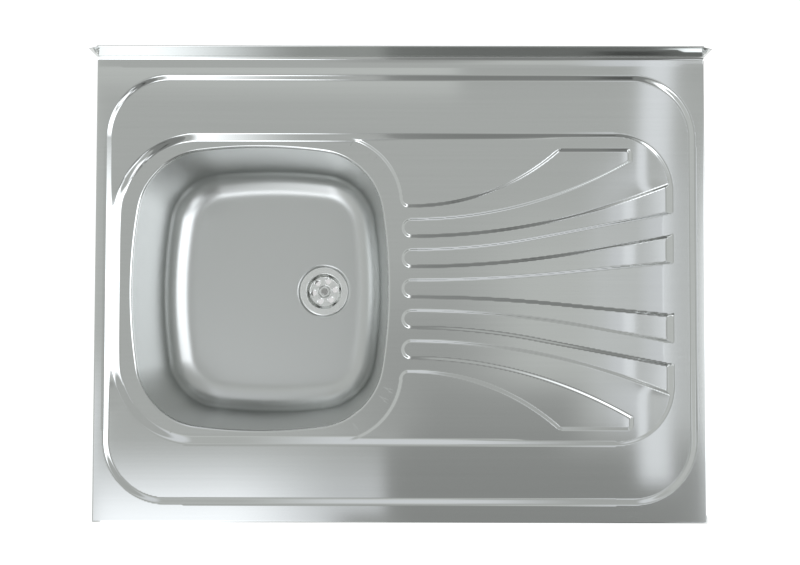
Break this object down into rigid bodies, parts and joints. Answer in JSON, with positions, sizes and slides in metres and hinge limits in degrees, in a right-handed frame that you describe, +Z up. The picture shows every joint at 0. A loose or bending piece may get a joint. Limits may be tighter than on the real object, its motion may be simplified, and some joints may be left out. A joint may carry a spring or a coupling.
{
  "type": "kitchen sink with drainboard",
  "caption": "Lay-on stainless steel kitchen sink with a bowl, a ribbed drainboard, a rear upstand, a strainer waste and clips that fix it to a cabinet.",
  "frame": {"origin": "middle of the deck's plan outline, on the plane of the folded hem that rests on the cabinet", "axes": "+X towards the drainboard, +Y towards the wall, +Z up"},
  "size_m": [0.8, 0.6158, 0.2608],
  "materials": {
    "polished_steel": "bright pressed stainless sheet, lightly brushed",
    "satin_steel": "drawn stainless bowl, satin",
    "galvanised_steel": "zinc coated sheet, dull spangle",
    "bitumen_felt": "matt sound damping sheet",
    "seal_rubber": "matt moulded",
    "white_plastic": "moulded polypropylene",
    "insert_brass": "turned",
    "strainer_steel": "pressed stainless, bright",
    "screw_steel": "plain stainless",
    "zinc_screw": "zinc plated"
  },
  "bodies": {
    "sink": {"deck": "polished_steel", "bowl": "satin_steel", "rear_rail": "galvanised_steel", "front_beam": "galvanised_steel", "rear_beam": "galvanised_steel", "drainboard_beam_left": "galvanised_steel", "drainboard_beam_right": "galvanised_steel", "damping_pad": "bitumen_felt", "strainer_seal": "seal_rubber", "bowl_seal": "seal_rubber", "outlet_body": "white_plastic", "insert_nut": "insert_brass"},
    "strainer": {"strainer": "strainer_steel"},
    "washer": {"screw_washer": "strainer_steel"},
    "screw": {"strainer_screw": "screw_steel"},
    "clip_left_front": {"clip_left_front": "galvanised_steel"},
    "clip_screw_left_front": {"clip_screw_left_front": "zinc_screw"},
    "clip_left_rear": {"clip_left_rear": "galvanised_steel"},
    "clip_screw_left_rear": {"clip_screw_left_rear": "zinc_screw"},
    "clip_right_front": {"clip_right_front": "galvanised_steel"},
    "clip_screw_right_front": {"clip_screw_right_front": "zinc_screw"},
    "clip_right_rear": {"clip_right_rear": "galvanised_steel"},
    "clip_screw_right_rear": {"clip_screw_right_rear": "zinc_screw"}
  },
  "joints": [
    {"name": "strainer_lift", "type": "slide", "parent": "sink", "child": "strainer", "axis": [0, 0, 1], "range_m": [0, 0.25]},
    {"name": "washer_rise", "type": "slide", "parent": "strainer", "child": "washer", "axis": [0, 0, 1], "range_m": [0, 0.009]},
    {"name": "screw_turn", "type": "hinge", "parent": "washer", "child": "screw", "pos_m": [-0.112, 0, -0.15], "axis": [0, 0, 1], "range_deg": [0, 3240]},
    {"name": "clip_slide_left_front", "type": "slide", "parent": "sink", "child": "clip_left_front", "axis": [0, 1, 0], "range_m": [-0.04, 0.04]},
    {"name": "clip_screw_turn_left_front", "type": "hinge", "parent": "clip_left_front", "child": "clip_screw_left_front", "pos_m": [-0.3805, -0.22, -0.024], "axis": [-1, 0, 0], "continuous": true},
    {"name": "clip_slide_left_rear", "type": "slide", "parent": "sink", "child": "clip_left_rear", "axis": [0, 1, 0], "range_m": [-0.04, 0.04]},
    {"name": "clip_screw_turn_left_rear", "type": "hinge", "parent": "clip_left_rear", "child": "clip_screw_left_rear", "pos_m": [-0.3805, 0.22, -0.024], "axis": [-1, 0, 0], "continuous": true},
    {"name": "clip_slide_right_front", "type": "slide", "parent": "sink", "child": "clip_right_front", "axis": [0, 1, 0], "range_m": [-0.04, 0.04]},
    {"name": "clip_screw_turn_right_front", "type": "hinge", "parent": "clip_right_front", "child": "clip_screw_right_front", "pos_m": [0.3805, -0.22, -0.024], "axis": [1, 0, 0], "continuous": true},
    {"name": "clip_slide_right_rear", "type": "slide", "parent": "sink", "child": "clip_right_rear", "axis": [0, 1, 0], "range_m": [-0.04, 0.04]},
    {"name": "clip_screw_turn_right_rear", "type": "hinge", "parent": "clip_right_rear", "child": "clip_screw_right_rear", "pos_m": [0.3805, 0.22, -0.024], "axis": [1, 0, 0], "continuous": true}
  ],
  "couplings": [
    {"joint": "screw_turn", "follows": "washer_rise", "rad_per_m": 6283.2}
  ]
}
